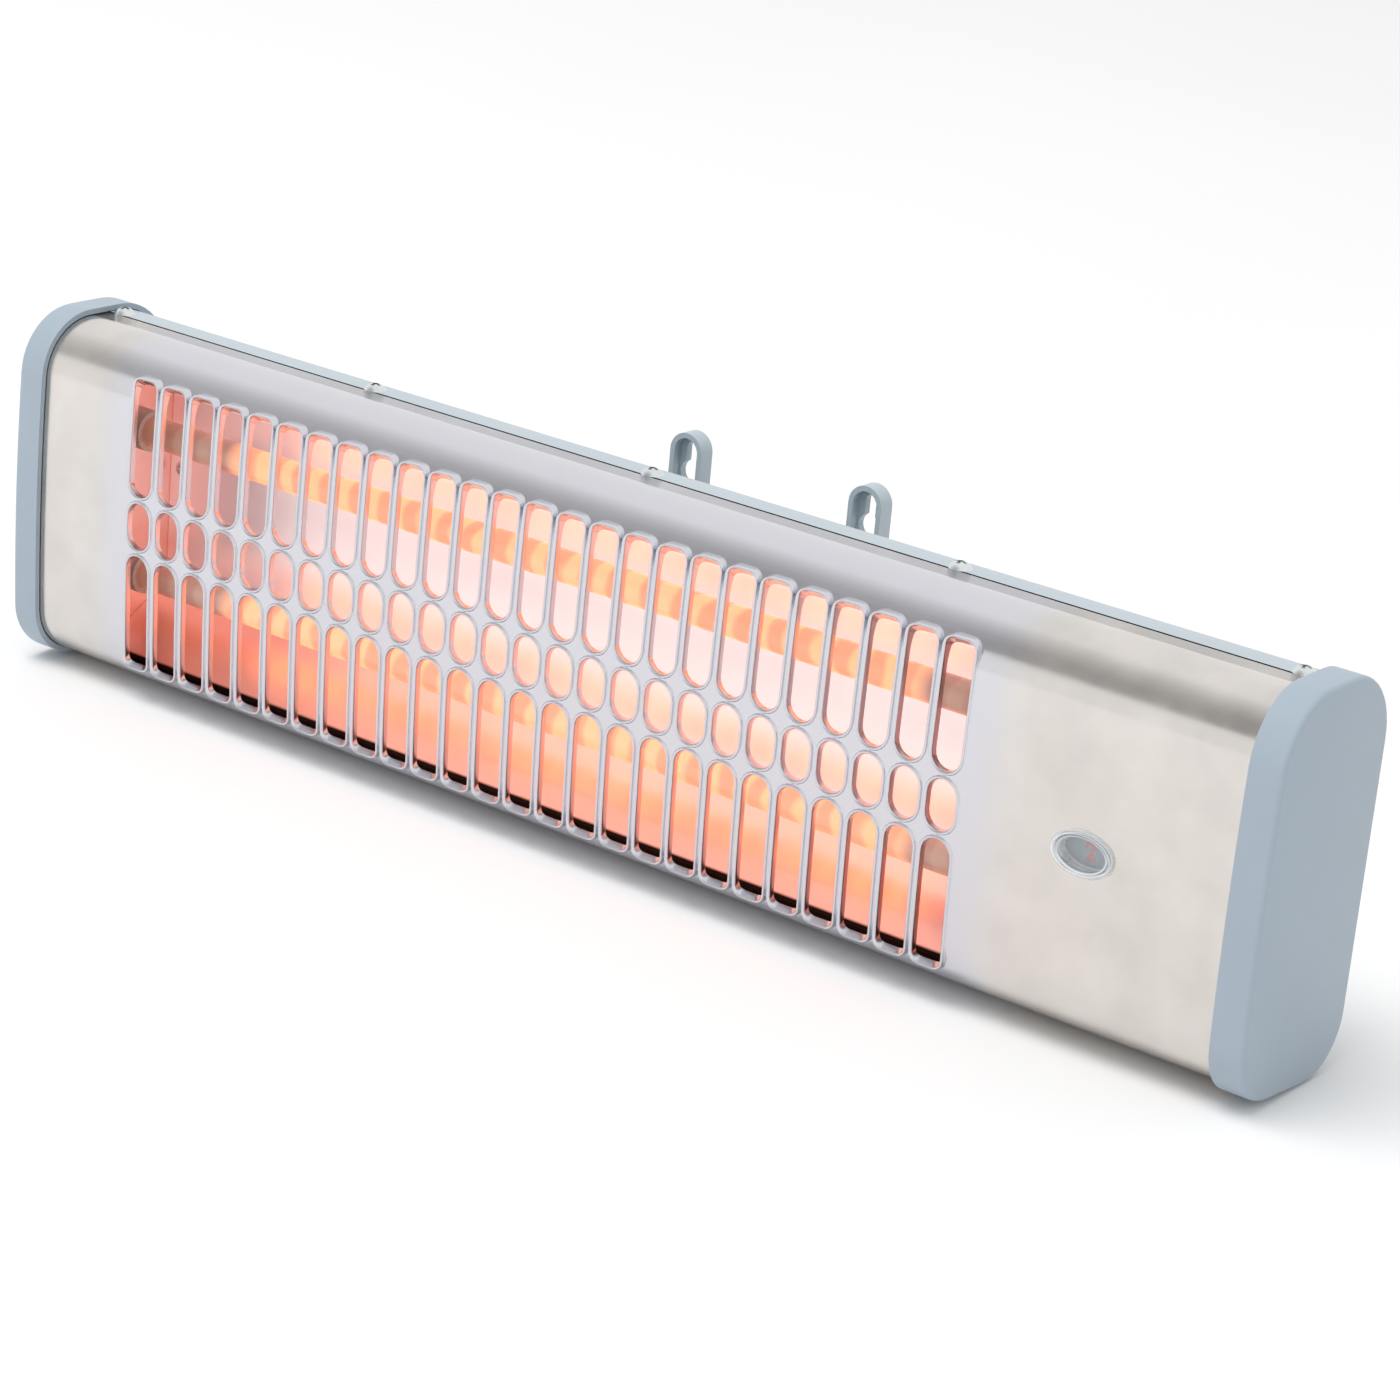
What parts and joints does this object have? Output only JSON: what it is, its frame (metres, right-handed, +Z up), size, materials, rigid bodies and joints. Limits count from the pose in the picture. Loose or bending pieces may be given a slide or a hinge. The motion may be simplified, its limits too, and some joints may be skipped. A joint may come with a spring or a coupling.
{
  "type": "electric bar heater",
  "caption": "Wall-mounted electric bar heater with a slotted stainless front, glowing quartz tubes, moulded end caps, pull switch with number dial and a tilting wall bracket.",
  "frame": {"origin": "centre of the line between the two keyholes, on the wall", "axes": "+Z up, +X along the heater to its right end as seen from the room, +Y into the wall"},
  "size_m": [0.558, 0.1194, 0.1408],
  "materials": {
    "stainless_panel": "bright rolled stainless sheet",
    "silver_paint": "silver-grey powder paint",
    "cap_plastic": "blue-grey moulded plastic",
    "reflector_steel": "polished reflector sheet",
    "zinc_steel": "zinc-plated sheet",
    "quartz_glass": "milky fused quartz",
    "hot_wire": "resistance wire, glowing",
    "ceramic": "unglazed steatite",
    "nickel_steel": "nickel-plated",
    "tinned_brass": "tinned",
    "lead_sleeve": "braided glass sleeve",
    "earth_sleeve": "green and yellow sleeve",
    "black_plastic": "moulded thermoset",
    "block_plastic": "moulded nylon",
    "screw_steel": "zinc-plated",
    "dial_plastic": "moulded, grey-blue",
    "spring_steel": "spring wire",
    "clear_plastic": "clear moulded plastic",
    "washer_rubber": "fibre-filled"
  },
  "bodies": {
    "bracket": {"wall_bracket": "silver_paint", "pivot_screws": "screw_steel", "friction_washers": "washer_rubber", "pivot_nuts": "screw_steel"},
    "heater": {"front_panel": "stainless_panel", "rear_housing": "silver_paint", "left_end_cap": "cap_plastic", "right_end_cap": "cap_plastic", "reflector": "reflector_steel", "left_side_plate": "zinc_steel", "right_side_plate": "zinc_steel", "upper_quartz_tube": "quartz_glass", "lower_quartz_tube": "quartz_glass", "upper_heating_coil": "hot_wire", "lower_heating_coil": "hot_wire", "upper_left_ceramic": "ceramic", "upper_right_ceramic": "ceramic", "lower_left_ceramic": "ceramic", "lower_right_ceramic": "ceramic", "terminal_studs": "nickel_steel", "stud_nuts": "nickel_steel", "ring_terminals": "tinned_brass", "left_link_lead": "lead_sleeve", "return_lead": "lead_sleeve", "upper_lead": "lead_sleeve", "lower_lead": "lead_sleeve", "cutout_lead": "lead_sleeve", "switch_lead": "lead_sleeve", "earth_lead": "earth_sleeve", "thermal_cutout": "black_plastic", "cutout_clamp": "zinc_steel", "cutout_screws": "screw_steel", "terminal_block": "block_plastic", "terminal_screws": "screw_steel", "pull_switch_body": "black_plastic", "switch_bracket": "zinc_steel", "switch_screws": "screw_steel", "lever_spring": "spring_steel", "indicator_window": "clear_plastic", "window_retainer": "zinc_steel", "pull_cord_bush": "cap_plastic", "supply_cord_bush": "black_plastic", "earth_stud": "nickel_steel", "earth_nut": "nickel_steel", "top_screws": "screw_steel", "bottom_screws": "screw_steel", "end_cap_screws": "screw_steel", "side_plate_screws": "screw_steel", "reflector_screws": "screw_steel", "tilt_bracket": "silver_paint", "tilt_bracket_screws": "screw_steel"},
    "dial": {"number_dial": "dial_plastic", "dial_spindle": "nickel_steel"},
    "lever": {"pull_lever": "zinc_steel"}
  },
  "joints": [
    {"name": "tilt", "type": "hinge", "parent": "bracket", "child": "heater", "pos_m": [0, -0.027, -0.044], "axis": [1, 0, 0], "range_deg": [0, 35]},
    {"name": "dial_turn", "type": "hinge", "parent": "heater", "child": "dial", "pos_m": [0.2116, -0.1, -0.053], "axis": [0, 1, 0], "continuous": true},
    {"name": "lever_pull", "type": "hinge", "parent": "heater", "child": "lever", "pos_m": [0.2116, -0.1, -0.053], "axis": [0, 1, 0], "range_deg": [0, 30], "stiffness_Nm_per_rad": 0.05, "springref_deg": -28.65}
  ]
}
